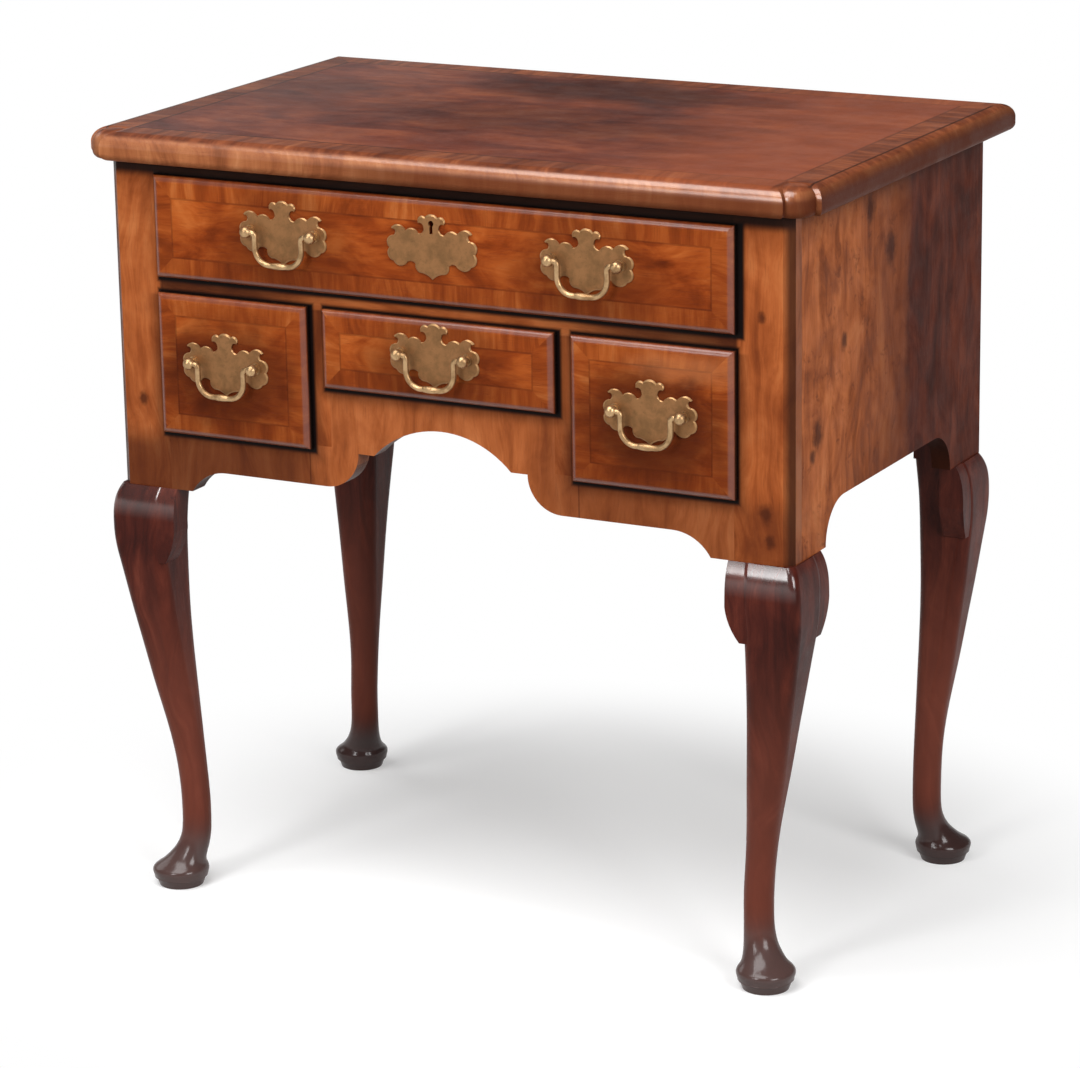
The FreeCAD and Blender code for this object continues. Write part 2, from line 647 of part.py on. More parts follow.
def plate_solid(x, z):
    """A shaped brass plate with a bevelled rim that lies on a drawer front."""
    middles = [middle for middle, _ in PLATE_ARCS]
    ends = [PLATE_START] + [end for _, end in PLATE_ARCS]
    right = list(zip(middles, ends[1:]))
    left = [((-u, v), (-ends[number][0], ends[number][1])) for number, (u, v) in enumerate(middles)]

    def ring(y, inset):
        def spot(point):
            return point[0] * (d.plate_width / 2 - inset), point[1] * (d.plate_height / 2 - inset)

        steps = [(spot(middle), spot(end)) for middle, end in right + left[::-1]]
        return outline(on_front(y), spot(PLATE_START), steps).OuterWire

    rim_y = d.plate_y + d.bevel_depth
    rim = Part.makeLoft([ring(rim_y, 0), ring(d.plate_y, d.bevel_width)], True, True)
    flat = Part.Face(ring(rim_y, 0)).extrude(Vector(0, d.plate_thickness - d.bevel_depth, 0))
    return flat.fuse(rim).removeSplitter().translated(Vector(x, 0, z))


def post_spots(x, z):
    return [Vector(x + side * d.post_spacing / 2, 0, z) for side in (-1, 1)]


def shank_hole(spot, end_y):
    """A hole for a post, from the face of its plate to a depth."""
    radius = d.shank_radius + d.shank_clearance
    return rod(radius, spot + Vector(0, d.plate_y, 0), spot + Vector(0, end_y, 0))


def shank_holes(x, z):
    """Holes for the posts of a handle, through the plate and the drawer front."""
    return [shank_hole(spot, d.core_back) for spot in post_spots(x, z)]


def post_solids(x, z):
    """The two posts of a handle and the nuts on their ends."""
    solids = []
    nut_end = d.core_back + d.nut_thickness
    for spot in post_spots(x, z):
        pivot = spot + Vector(0, d.pivot_y, 0)
        plate = spot + Vector(0, d.plate_y, 0)
        along = Vector(d.post_head_radius * 2, 0, 0)
        post = Part.makeSphere(d.post_head_radius, pivot).fuse(rod(d.post_neck_radius, pivot, plate))
        post = post.fuse(rod(d.post_flange_radius, plate - Vector(0, d.post_flange_height, 0), plate))
        post = post.fuse(rod(d.shank_radius, plate, spot + Vector(0, nut_end, 0)))
        eye = rod(d.bail_radius + d.pin_clearance, pivot - along, pivot + along)
        low, high = -d.nut_side / 2, d.nut_side / 2
        nut = block((low, high), (d.core_back, nut_end), (low, high)).translated(spot)
        solids += [post.cut(eye), nut.cut(shank_hole(spot, nut_end))]
    return solids


def bail_solid():
    """A bail that hangs from the origin between its posts, bent from one round rod."""
    pivot_x = d.post_spacing / 2
    upright = pivot_x - d.bail_end_inset
    bend, corner, drop = d.bail_end_bend, d.bail_corner, d.bail_drop
    right = [
        ("to", (upright + bend, 0)),
        ("arc", quarter((upright + bend, -bend), bend, (-1, 1)), (upright, -bend)),
        ("to", (upright, corner - drop)),
        ("arc", quarter((upright - corner, corner - drop), corner, (1, -1)), (upright - corner, -drop)),
        ("to", (0, -drop)),
    ]
    here = (pivot_x + d.bail_end_reach, 0)
    place = on_front(0)
    edges = []
    for step in right:
        end = step[-1]
        if step[0] == "arc":
            edges.append(Part.Arc(place(*here), place(*step[1]), place(*end)).toShape())
        else:
            edges.append(Part.makeLine(place(*here), place(*end)))
        here = end
    start = place(pivot_x + d.bail_end_reach, 0)
    ring = Part.Wire([Part.makeCircle(d.bail_radius, start, Vector(1, 0, 0))])
    half = Part.Wire(edges).makePipeShell([ring], True, True)
    straight = d.bail_straight / 2
    sunk = d.bail_radius - d.bail_swell / 2
    swell = outline(place, (-straight, -drop), [
        (-straight, sunk - drop),
        ((0, d.bail_radius + d.bail_swell - drop), (straight, sunk - drop)),
        (straight, -drop)])
    return both_halves(half).fuse(swell.revolve(place(0, -drop), Vector(1, 0, 0), 360)).removeSplitter()


# The drawers: lipped fronts, dovetailed sides and backs, grooved bottoms.

TAIL_SHARE = 1 / 4


def tails(x, root_y, tip_y, z):
    """The dovetails of a drawer side, from their root to their wider tip."""
    height = z[1] - z[0]
    count = max(2, round(height / d.tail_pitch))
    step = height / count
    solids = []
    for number in range(count):
        middle = z[0] + (number + 0.5) * step
        narrow = step * TAIL_SHARE
        wide = narrow + d.tail_flare
        face = outline(on_side(x[0]), (root_y, middle - narrow), [
            (tip_y, middle - wide), (tip_y, middle + wide), (root_y, middle + narrow)])
        solids.append(face.extrude(Vector(x[1] - x[0], 0, 0)))
    return solids


def drawer(name, x, z, handles, cuts=()):
    """The five boards of a drawer for the opening between x and z, with its handles."""
    over = d.lip_overlap
    lip = block((x[0] - over, x[1] + over), (d.face_y, d.front_y - d.lip_gap), (z[0] - over, z[1] + over))
    rim = [e for e in lip.Edges if e.BoundBox.YMax < d.face_y + d.lip_round / 2]
    inner_x = (x[0] + d.drawer_fit, x[1] - d.drawer_fit)
    core = block(inner_x, (d.front_y - d.lip_gap, d.core_back), (z[0] + d.drawer_fit, z[1] - d.drawer_fit))
    front = lip.makeFillet(d.lip_round, rim).fuse(core)

    side_z = (z[0] + d.runner_gap, z[1] - d.side_drop)
    bottom_low = side_z[0] + d.drawer_bottom_lift
    bottom_high = bottom_low + d.drawer_bottom_thickness
    back_z = (bottom_high, side_z[1] - d.back_drop)
    back_front = d.drawer_end - d.drawer_back_thickness
    bottom_x = (inner_x[0] + d.drawer_side_thickness - d.groove_depth,
                inner_x[1] - d.drawer_side_thickness + d.groove_depth)
    bottom = block(bottom_x, (d.core_back - d.groove_depth, d.drawer_end), (bottom_low, bottom_high))
    back = block(inner_x, (back_front, d.drawer_end), back_z)

    side_spans = {"left": (inner_x[0], inner_x[0] + d.drawer_side_thickness),
                  "right": (inner_x[1] - d.drawer_side_thickness, inner_x[1])}
    for hand, span in side_spans.items():
        front_tails = tails(span, d.core_back, d.core_back - d.tail_length, side_z)
        back_tails = tails(span, back_front, d.drawer_end, back_z)
        panel = block(span, (d.core_back, back_front), side_z).multiFuse(front_tails + back_tails)
        front = front.cut(Part.makeCompound(front_tails))
        back = back.cut(Part.makeCompound(back_tails))
        label = f"{name}_drawer_{hand}_side"
        keep(label, feature(label, panel.cut(bottom).removeSplitter()))
    holes = [hole for spot in handles for hole in shank_holes(*spot)]
    front = front.cut(Part.makeCompound([bottom] + holes + list(cuts)))
    keep(f"{name}_drawer_front", feature(f"{name}_drawer_front", front.removeSplitter()))
    keep(f"{name}_drawer_back", feature(f"{name}_drawer_back", back))
    keep(f"{name}_drawer_bottom", feature(f"{name}_drawer_bottom", bottom))

    plates, posts = [], []
    for spot in handles:
        plate = plate_solid(*spot)
        plates.append(plate.cut(Part.makeCompound(shank_holes(*spot))))
        posts += post_solids(*spot)
    keep(f"{name}_drawer_plates", feature(f"{name}_drawer_plates", Part.makeCompound(plates)))
    keep(f"{name}_drawer_posts", feature(f"{name}_drawer_posts", Part.makeCompound(posts)))


def middle_of(span):
    return (span[0] + span[1]) / 2


def handle_level(span):
    return middle_of(span) + d.handle_rise


top_x, top_z = (-d.open_half, d.open_half), (d.top_open_low, d.top_open_high)
right_x, side_z = (d.divider_half, d.open_half), (d.side_open_low, d.low_open_high)
left_x = (-d.open_half, -d.divider_half)
centre_x, centre_z = (-d.centre_half, d.centre_half), (d.centre_open_low, d.low_open_high)

lock_top = d.top_open_high - d.drawer_fit
lock_half = d.lock_width / 2
lock_space = block((-lock_half, lock_half), (d.core_back - d.lock_depth, d.core_back),
                   (lock_top - d.lock_height, lock_top))
key_z = handle_level(top_z) + KEYHOLE_LEVEL * d.plate_height / 2
key_front = Vector(0, d.plate_y, key_z)
key_back = Vector(0, d.core_back - d.lock_depth, key_z)
slot_half = d.keyhole_slot / 2
keyhole = rod(d.keyhole_radius, key_front, key_back).fuse(
    block((-slot_half, slot_half), (key_front.y, key_back.y), (key_z - d.keyhole_length, key_z)))

top_handles = [(side * d.top_handle_offset, handle_level(top_z)) for side in (-1, 1)]
left_handle = (middle_of(left_x) - d.left_handle_shift, handle_level(side_z))
centre_handle = (middle_of(centre_x), handle_level(centre_z))
right_handle = (middle_of(right_x), handle_level(side_z))
drawer("top", top_x, top_z, top_handles, (lock_space, keyhole))
drawer("left", left_x, side_z, [left_handle])
drawer("centre", centre_x, centre_z, [centre_handle])
drawer("right", right_x, side_z, [right_handle])
bail_spots = {"top_left_bail": top_handles[0], "top_right_bail": top_handles[1], "left_bail": left_handle,
              "centre_bail": centre_handle, "right_bail": right_handle}
for label, (x, z) in bail_spots.items():
    keep(label, feature(label, bail_solid(), Vector(x, d.pivot_y, z)))

# The lock: a plate round the keyhole, a case let into the front, and a bolt that shoots upwards.

escutcheon = plate_solid(0, handle_level(top_z)).cut(keyhole)
keep("escutcheon", feature("escutcheon", escutcheon))
bolt_half = d.bolt_width / 2
bolt_y = (d.bolt_front, d.bolt_front + d.bolt_thickness)
bolt_z = (lock_top - d.bolt_height, lock_top - d.bolt_clearance)
channel = block((-bolt_half - d.bolt_clearance, bolt_half + d.bolt_clearance),
                (bolt_y[0] - d.bolt_clearance, bolt_y[1] + d.bolt_clearance),
                (bolt_z[0] - d.bolt_clearance, lock_top))
keep("lock_case", feature("lock_case", lock_space.cut(channel)))
keep("lock_bolt", feature("lock_bolt", block((-bolt_half, bolt_half), bolt_y, bolt_z)))

doc.recompute()
for item in doc.Objects:
    if "Invalid" in item.State or "Error" in item.State:
        raise RuntimeError(f"{item.Label} failed: {item.State}")
for item in nodes:
    if item.Shape.isNull() or not item.Shape.isValid():
        raise RuntimeError(f"{item.Label} has no valid shape")

os.makedirs("parts", exist_ok=True)
for item in nodes:
    item.Shape.exportStep(f"parts/{item.Label}.step")
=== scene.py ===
from functools import reduce

import bpy
from mathutils import Matrix, Vector


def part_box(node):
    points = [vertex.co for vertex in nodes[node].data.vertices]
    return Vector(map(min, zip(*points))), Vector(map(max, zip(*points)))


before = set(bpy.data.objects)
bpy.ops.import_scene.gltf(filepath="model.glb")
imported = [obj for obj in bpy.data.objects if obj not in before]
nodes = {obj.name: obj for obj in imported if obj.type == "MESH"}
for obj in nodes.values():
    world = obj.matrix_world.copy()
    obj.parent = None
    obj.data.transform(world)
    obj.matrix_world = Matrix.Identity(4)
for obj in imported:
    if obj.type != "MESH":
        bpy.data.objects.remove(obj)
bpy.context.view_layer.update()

# Shading: a small helper for writing node trees as formulas

# Sockets of a Mix node that blends colours
MIX_FACTOR, MIX_FIRST, MIX_SECOND, MIX_RESULT = 0, 6, 7, 2


class Shade:
    """One procedural material, written as formulas on the object's own coordinates in metres."""

    def __init__(self, name):
        self.material = bpy.data.materials.new(name)
        self.material.use_nodes = True
        self.tree = self.material.node_tree
        self.tree.nodes.clear()
        self.output = self.tree.nodes.new("ShaderNodeOutputMaterial")
        self.point = self.tree.nodes.new("ShaderNodeTexCoord").outputs["Object"]
        self.x, self.y, self.z = self.split(self.point)

    def put(self, socket, value):
        """Links a socket to another node's output, or sets it to a constant."""
        if isinstance(value, bpy.types.NodeSocket):
            self.tree.links.new(value, socket)
        else:
            socket.default_value = value

    def node(self, kind, inputs, **settings):
        node = self.tree.nodes.new(kind)
        for name, value in settings.items():
            setattr(node, name, value)
        for key, value in inputs.items():
            self.put(node.inputs[key], value)
        return node

    def math(self, operation, *values):
        return self.node("ShaderNodeMath", dict(enumerate(values)), operation=operation).outputs[0]

    def add(self, a, b):
        return self.math("ADD", a, b)

    def sub(self, a, b):
        return self.math("SUBTRACT", a, b)

    def mul(self, a, b):
        return self.math("MULTIPLY", a, b)

    def unsigned(self, value):
        return self.math("ABSOLUTE", value)

    def off(self, value, middle):
        """How far a value lies from a middle, either way."""
        return self.unsigned(self.sub(value, middle))

    def least(self, *values):
        return reduce(lambda a, b: self.math("MINIMUM", a, b), values)

    def most(self, *values):
        return reduce(lambda a, b: self.math("MAXIMUM", a, b), values)

    def fade(self, value, low, high, start=0.0, end=1.0):
        """Runs smoothly from start to end while the value runs from low to high."""
        inputs = {"Value": value, "From Min": low, "From Max": high, "To Min": start, "To Max": end}
        return self.node("ShaderNodeMapRange", inputs, interpolation_type="SMOOTHSTEP").outputs[0]

    def below(self, value, edge, soft):
        """1 where value is under the edge, 0 above, over a soft width."""
        return self.fade(value, edge - soft / 2, edge + soft / 2, 1.0, 0.0)

    def split(self, vector):
        return self.node("ShaderNodeSeparateXYZ", {0: vector}).outputs

    def join(self, x, y, z):
        return self.node("ShaderNodeCombineXYZ", {0: x, 1: y, 2: z}).outputs[0]

    def normal(self):
        """The three shares of the true surface direction."""
        return self.split(self.tree.nodes.new("ShaderNodeNewGeometry").outputs["True Normal"])

    def facing(self):
        """The shares of the true surface direction without their signs."""
        return [self.unsigned(share) for share in self.normal()]

    def noise(self, vector, scale, detail=4.0, rough=0.55, twist=0.0):
        inputs = {"Vector": vector, "Scale": scale, "Detail": detail,
                  "Roughness": rough, "Distortion": twist}
        return self.node("ShaderNodeTexNoise", inputs).outputs[0]

    def swing(self, scale, **settings):
        """Noise that lies about zero."""
        return self.sub(self.noise(self.point, scale, **settings), 0.5)

    def blend(self, factor, a, b):
        node = self.node("ShaderNodeMix", {}, data_type="RGBA")
        for index, value in ((MIX_FACTOR, factor), (MIX_FIRST, a), (MIX_SECOND, b)):
            self.put(node.inputs[index], rgba(value) if isinstance(value, tuple) else value)
        return node.outputs[MIX_RESULT]

    def ramp(self, factor, stops):
        node = self.node("ShaderNodeValToRGB", {0: factor})
        elements = node.color_ramp.elements
        while len(elements) < len(stops):
            elements.new(0.5)
        for element, (place, colour) in zip(elements, stops):
            element.position = place
            element.color = rgba(colour)
        return node.outputs[0]

    def bump(self, height, distance, strength):
        inputs = {"Height": height, "Distance": distance, "Strength": strength}
        return self.node("ShaderNodeBump", inputs).outputs[0]

    def finish(self, colour, roughness, normal, **sockets):
        inputs = {"Base Color": colour, "Roughness": roughness, "Normal": normal}
        inputs.update({name.replace("_", " "): value for name, value in sockets.items()})
        shader = self.node("ShaderNodeBsdfPrincipled", inputs)
        self.tree.links.new(shader.outputs[0], self.output.inputs[0])
        return self.material


def linear(level):
    """The linear value of a screen level from 0 to 255, by the sRGB formula."""
    level /= 255
    return level / 12.92 if level <= 0.04045 else ((level + 0.055) / 1.055) ** 2.4


def rgba(colour):
    """A colour written as 0 to 255 screen values, as the shader's linear one."""
    return tuple(linear(level) for level in colour) + (1.0,)


# Wood

# Ramps from the darkest fibres to the palest, as places and colours
TOP_STOPS = ((0.0, (80, 36, 26)), (0.35, (106, 51, 36)), (0.65, (124, 63, 42)), (1.0, (146, 80, 51)))
TOP_BAND_STOPS = ((0.0, (80, 38, 24)), (0.4, (116, 60, 36)), (0.7, (140, 76, 46)), (1.0, (160, 96, 60)))
EDGE_STOPS = ((0.0, (122, 67, 40)), (0.4, (158, 94, 58)), (0.7, (175, 110, 70)), (1.0, (192, 130, 90)))
CASE_STOPS = ((0.0, (112, 52, 24)), (0.35, (150, 76, 36)), (0.65, (174, 94, 48)), (1.0, (194, 116, 66)))
APRON_STOPS = ((0.0, (128, 64, 32)), (0.35, (160, 86, 44)), (0.65, (178, 100, 55)), (1.0, (196, 118, 70)))
FIELD_STOPS = ((0.0, (98, 38, 12)), (0.35, (146, 64, 22)), (0.65, (172, 84, 33)), (1.0, (196, 110, 52)))
BAND_STOPS = ((0.0, (110, 46, 16)), (0.4, (147, 67, 25)), (0.7, (170, 86, 36)), (1.0, (194, 113, 58)))
SIDE_STOPS = ((0.0, (104, 52, 30)), (0.35, (158, 86, 48)), (0.65, (188, 108, 64)), (1.0, (208, 130, 82)))
SIDE_BACK_STOPS = ((0.0, (54, 22, 15)), (0.35, (80, 35, 23)), (0.65, (98, 46, 31)), (1.0, (124, 62, 41)))
LEG_STOPS = ((0.0, (46, 17, 13)), (0.4, (70, 28, 21)), (0.7, (88, 38, 28)), (1.0, (112, 54, 40)))
OAK_STOPS = ((0.0, (108, 70, 42)), (0.4, (146, 102, 66)), (0.7, (170, 126, 86)), (1.0, (190, 148, 106)))

# Colours of lines, pores, dirt, stains and worn places, and of painted shadow, shade and sheen
STRING = (46, 22, 14)
# Near-black painted shadow, in the gaps round the drawers, under the top and along the drawer fronts'
# outlines
PAINTED_SHADOW = (12, 5, 4)
# Painted shade with the dark of old, unpolished wood, for edges turned away
SHADED_OLD_EDGE = (46, 24, 16)
PORE = (38, 18, 11)
TOP_STAIN = (62, 27, 21)
TOP_CLOUD = (44, 18, 15)
TOP_BLEACH = (158, 82, 50)
EDGE_SHADE = (96, 47, 26)
RETURN_SHADE = (82, 37, 21)
CASE_STAIN = (104, 48, 24)
CASE_KNOT = (62, 26, 14)
APRON_DIRT = (70, 31, 17)
RAIL_SHADE = (46, 20, 12)
SPANDREL_DIRT = (84, 38, 20)
# Painted shade with dirt, in a halo round the lower drawers
GAP_SHADE_AND_DIRT = (66, 28, 14)
SIDE_STAIN = (104, 52, 32)
SIDE_SPECK = (92, 44, 27)
SEAM_SHADE = (92, 44, 29)
SIDE_KNOT = (60, 28, 20)
UNDER_TOP_SHADE = (48, 20, 13)
HANDLE_DIRT = (70, 27, 11)
# Darkening of the drawer fronts towards the right and the bottom
DRAWER_DARKENING = (78, 30, 12)
LIP_SHADE = (94, 38, 20)
# Painted sheen for the lower legs, paler and browner
ANKLE_SHEEN = (132, 72, 56)
# The dark feet, with painted sheen on the front ones and painted shade on the back ones
FRONT_FOOT_SHEEN = (72, 58, 56)
BACK_FOOT_SHADE = (42, 33, 33)
OAK_STAIN = (70, 50, 34)

# Grain: what a seed shifts it by, and how dense it is, along the fibres, across them and into the wood
SEED_SHIFTS = (1.7, 0.9, 2.3)
PATCH_DENSITY = (8.0, 15.0, 15.0)
STREAK_DENSITY = (6.0, 95.0, 95.0)
STREAK_SWAY = (7.0, 5.0)
PORE_DENSITY = (55.0, 1400.0, 1400.0)

# Veneer, in metres: soft widths of lines and joints, borders, string lines, lips and the sides' seam
FINE = 0.0006
JOINT = 0.0008
TOP_BORDER = 0.038
TOP_LINE = 0.0385
TOP_LINE_HALF = 0.0011
TOP_BEAD = 0.0125
DRAWER_BORDER = 0.0195
DRAWER_LINE = 0.02
DRAWER_LINE_HALF = 0.0008
DRAWER_LIP = 0.0052
SIDE_SEAM = 0.035

# Depths under the top's face: its rounding, the hollow of its edge and the polished arris between them
TOP_ROUND = 0.003
TOP_HOLLOW = 0.0095
TOP_ARRIS = (0.014, 0.008)
# Heights between which a leg takes a paler, browner painted sheen, turns dark at the foot and is polished
# at the foot
ANKLE_SHEEN_HEIGHTS = (0.34, 0.14)
FOOT_HEIGHTS = (0.075, 0.03)
FOOT_POLISH_HEIGHTS = (0.06, 0.03)

# Dark clouds on the top, as x, y, half width, half depth and strength
TOP_CLOUDS = ((-0.01, 0.14, 0.13, 0.055, 0.75), (-0.03, -0.02, 0.2, 0.07, 0.45),
              (-0.26, 0.06, 0.08, 0.05, 0.35))
# Knots of the front stiles as x, z and size, and of the right side as y, z and size
STILE_KNOTS = ((0.309, 0.432, 0.0085), (0.313, 0.408, 0.006), (-0.306, 0.47, 0.006), (0.306, 0.60, 0.005))
SIDE_KNOTS = ((-0.045, 0.664, 0.012), (0.0, 0.622, 0.014), (0.05, 0.58, 0.014), (-0.155, 0.49, 0.013),
              (-0.165, 0.474, 0.007), (-0.1, 0.56, 0.008))
# The dark spandrel beside the middle arch, as middle and half size along x and z
SPANDREL_X = (0.118, 0.035)
SPANDREL_Z = (0.445, 0.055)
# Pale and dark patches of the drawer fronts, as x, z, half width, half height, strength and colour
DRAWER_PATCHES = {"right": ((0.24, 0.552, 0.055, 0.014, 0.28, (208, 136, 88)),),
                  "left": ((-0.205, 0.557, 0.08, 0.014, 0.35, (112, 46, 14)),)}
# Half width and half height of the dirt round a handle, and its middle under the bail's top
HANDLE_SPOT = (0.062, 0.045)
HANDLE_DROP = 0.012
# How dirty each drawer front is, which also sets how much darker it grows towards its bottom, and how far
# the painted shadow of its gap reaches to the right of it
DRAWER_DIRT = {"top": 0.4, "left": 0.7, "centre": 0.45, "right": 0.75}
GAP_SHADOW_WIDTHS = {"top": 0.0055, "left": 0.003, "centre": 0.003, "right": 0.001}
# How far the painted shadow of the gap reaches to the left of a drawer front, under it and over it
GAP_SHADOW_LEFT = 0.0015
GAP_SHADOW_UNDER = 0.0035
GAP_SHADOW_OVER = 0.001
# What each drawer's seed grows by
DRAWER_SEED = 5.3


def scaled(s, place, scales):
    return [s.mul(part, scale) for part, scale in zip(place, scales)]


def grain(s, along, across, deep, seed, figure=1.0):
    """Figure, streaks and pores of wood whose fibres run along the first coordinate."""
    place = [s.add(part, seed * shift) for part, shift in zip((along, across, deep), SEED_SHIFTS)]
    wide = s.join(*scaled(s, place, PATCH_DENSITY))
    patches = s.noise(wide, figure, detail=6.0, rough=0.58, twist=0.8)
    sway = s.noise(wide, 0.8, detail=2.0)
    straight, *swaying = scaled(s, place, STREAK_DENSITY)
    drawn = s.join(straight, *(s.add(part, s.mul(sway, much)) for part, much in zip(swaying, STREAK_SWAY)))
    streaks = s.noise(drawn, 1.0, detail=5.0, rough=0.6, twist=0.3)
    fine = s.join(*scaled(s, place, PORE_DENSITY))
    pores = s.fade(s.noise(fine, 1.0, detail=2.0, rough=0.5), 0.56, 0.72)
    return patches, streaks, pores


def wood_colour(s, fibres, stops, patch_share=0.5, pore_depth=0.2):
    """Colour of wood from its figure and streaks, with darker pores."""
    patches, streaks, pores = fibres
    mixed = s.add(s.mul(patches, patch_share), s.mul(streaks, 1 - patch_share))
    colour = s.ramp(s.fade(mixed, 0.28, 0.72), stops)
    return s.blend(s.mul(pores, pore_depth), colour, PORE)


def wood_bump(s, fibres, distance=0.0002):
    _, streaks, pores = fibres
    return s.bump(s.sub(s.mul(streaks, 0.5), pores), distance, strength=0.5)


def worn_gloss(s, low, high):
    """Roughness that varies as polish does on old wood."""
    return s.fade(s.noise(s.point, 30.0, detail=5.0, rough=0.65), 0.3, 0.75, low, high)


def stained(s, colour, amount, tint, scale=7.0):
    """Soft dark clouds, as old polish and spills leave them."""
    clouds = s.fade(s.noise(s.point, scale, detail=5.0, rough=0.6, twist=0.7), 0.46, 0.72)
    return s.blend(s.mul(clouds, amount), colour, tint)


def inside(s, value, low, high):
    """How far a coordinate lies inside two limits; negative outside."""
    return s.sub((high - low) / 2, s.off(value, (low + high) / 2))


def outside(s, value, low, high):
    """How far a coordinate lies outside two limits; negative inside."""
    return s.sub(s.off(value, (low + high) / 2), (high - low) / 2)


def spot_gap(s, *axes):
    """How far a point lies from an oval's middle, 1 at its rim.

    Each axis is a coordinate, the oval's middle on it and its half size.
    """
    shares = [s.mul(s.sub(value, middle), 1 / half) for value, middle, half in axes]
    return s.math("SQRT", s.add(*(s.math("POWER", share, 2.0) for share in shares)))


def knotted(s, colour, across, knots, tint):
    """Dark, ragged knots at places along a coordinate and up the object."""
    ragged = s.mul(s.noise(s.point, 190.0), 0.9)
    for place, level, size in knots:
        knot = s.add(spot_gap(s, (across, place, size), (s.z, level, size * 1.3)), ragged)
        colour = s.blend(s.fade(knot, 0.7, 1.6, 0.8, 0.0), colour, tint)
    return colour


def bordered(s, from_end, from_side, colours, border):
    """A field of veneer in a crossbanded border, mitred where its ends meet its sides."""
    field, ends, sides = colours
    on_end = s.below(s.sub(from_end, from_side), 0.0, FINE)
    on_border = s.below(s.least(from_end, from_side), border, JOINT)
    return s.blend(on_border, field, s.blend(on_end, sides, ends))


def top_stains(s, colour, from_end):
    """Stains of the top: soft ones all over, dark clouds at their places, bleached wood at the right."""
    colour = stained(s, colour, 0.35, TOP_STAIN, scale=5.0)
    wander = s.mul(s.swing(9.0, detail=5.0, rough=0.6), 1.4)
    for x, y, width, depth, amount in TOP_CLOUDS:
        cloud = s.add(spot_gap(s, (s.x, x, width), (s.y, y, depth)), wander)
        colour = s.blend(s.fade(cloud, 0.4, 1.5, amount, 0.0), colour, TOP_CLOUD)
    bleached = s.fade(s.add(s.x, s.mul(wander, 0.08)), 0.08, 0.26, 0.0, 0.45)
    return s.blend(s.mul(bleached, s.fade(from_end, 0.036, 0.04)), colour, TOP_BLEACH)


def top_edge(s, top, on_return):
    """The pale moulded edge, darker in its hollow and on the returns at the ends."""
    edge = wood_colour(s, grain(s, s.z, s.add(s.x, s.y), s.y, seed=9.3), EDGE_STOPS, patch_share=0.6)
    hollow = s.mul(s.fade(s.x, -0.2, 0.0, 0.0, 0.8), s.below(s.z, top - TOP_HOLLOW, 0.005))
    edge = s.blend(hollow, edge, EDGE_SHADE)
    return s.blend(s.mul(on_return, 0.9), edge, RETURN_SHADE)


def top_wood():
    """Walnut with a crossbanded border, a dark string line and a moulded edge."""
    s = Shade("walnut_top")
    low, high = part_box("top_board")
    from_end = s.sub(high.x, s.unsigned(s.x))
    from_face = s.least(s.sub(s.y, low.y), s.sub(high.y, s.y))
    field = grain(s, s.x, s.y, s.z, seed=3.1, figure=1.3)
    colours = (wood_colour(s, field, TOP_STOPS, patch_share=0.72),
               wood_colour(s, grain(s, s.x, s.y, s.z, seed=7.4), TOP_BAND_STOPS, patch_share=0.4),
               wood_colour(s, grain(s, s.y, s.x, s.z, seed=5.2), TOP_BAND_STOPS, patch_share=0.4))
    colour = bordered(s, from_end, from_face, colours, TOP_BORDER)
    line = s.below(s.off(s.least(from_end, from_face), TOP_LINE), TOP_LINE_HALF, FINE)
    colour = s.blend(s.mul(line, 0.85), colour, STRING)
    colour = top_stains(s, colour, from_end)
    bead = s.mul(s.below(s.off(from_end, TOP_BEAD), TOP_LINE_HALF, 0.0009), s.fade(from_face, 0.02, 0.03))
    colour = s.blend(s.mul(bead, 0.8), colour, STRING)
    on_return = s.facing()[0]
    rounding = s.below(s.z, high.z - TOP_ROUND, TOP_ROUND)
    colour = s.blend(rounding, colour, top_edge(s, high.z, on_return))
    arris = s.fade(s.z, *(high.z - depth for depth in TOP_ARRIS))
    arris = s.mul(arris, s.fade(on_return, 0.15, 0.5, 0.85, 0.0))
    on_face = s.fade(s.z, high.z - TOP_ROUND, high.z - 0.0002)
    face_polish = s.fade(s.x, -0.3, -0.05, 0.45, 0.1)
    polish = s.add(s.mul(arris, s.sub(1.0, on_face)), s.mul(face_polish, on_face))
    return s.finish(colour, worn_gloss(s, 0.42, 0.6), wood_bump(s, field), Specular_IOR_Level=0.05,
                    Coat_Weight=polish, Coat_Roughness=0.22, Coat_IOR=1.7)


def apron_dirt(s, colour, from_middle):
    """Joints under the outer drawers, and dirt along the foot of the apron."""
    drawer_low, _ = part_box("right_drawer_front")
    joint = s.below(s.off(from_middle, drawer_low.x + 0.004), FINE, FINE)
    under_drawer = s.below(s.z, drawer_low.z, 0.002)
    colour = s.blend(s.mul(s.mul(joint, under_drawer), 0.6), colour, STRING)
    foot = s.mul(s.below(s.z, drawer_low.z - 0.004, 0.03), s.fade(from_middle, 0.1, 0.16))
    return s.blend(s.mul(foot, s.fade(s.x, -0.2, 0.2, 0.75, 0.4)), colour, APRON_DIRT)


